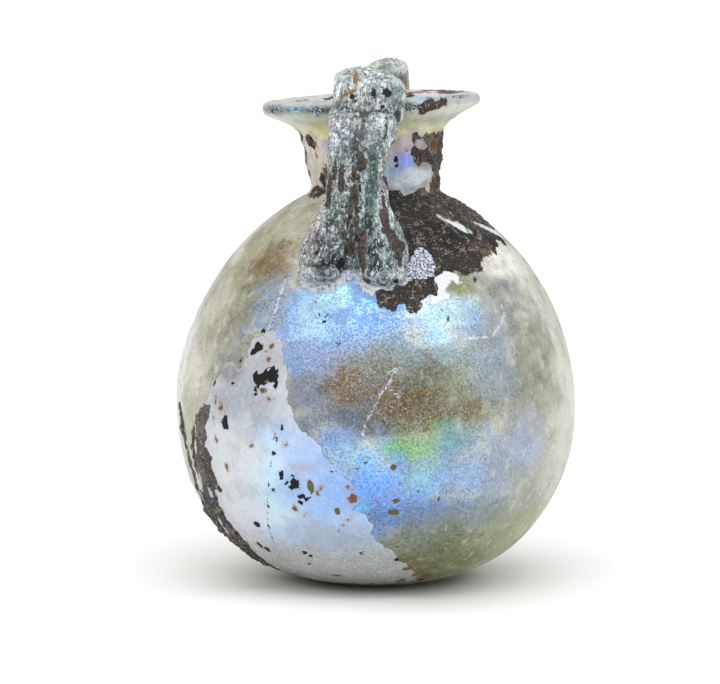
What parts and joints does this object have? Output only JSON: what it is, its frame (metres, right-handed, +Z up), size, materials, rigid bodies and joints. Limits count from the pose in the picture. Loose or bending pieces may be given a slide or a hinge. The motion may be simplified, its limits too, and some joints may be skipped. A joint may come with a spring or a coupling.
{
  "type": "glass aryballos",
  "caption": "Small globular blown-glass oil flask with a short neck, a flared mouth with a rolled rim, and strap handles drawn from shoulder to rim; weathered and iridescent.",
  "frame": {"origin": "centre of the flattened foot, on the surface that the flask stands on", "axes": "+Z up along the body's axis; the handles stand on -Y (front) and +Y (rear); +X to the right of the front handle"},
  "size_m": [0.066, 0.066, 0.0861],
  "materials": {
    "blown_glass": "free-blown pale yellow-green glass, weathered: silvery blue-green and gold iridescent film, chalky white enamel-like layer and dark brown crust; satin",
    "trail_glass": "hot-trailed blue-green glass, speckled with whitish weathering and brown soil; satin"
  },
  "bodies": {
    "root": {"vessel": "blown_glass", "handle_front": "trail_glass", "handle_rear": "trail_glass"}
  },
  "joints": []
}
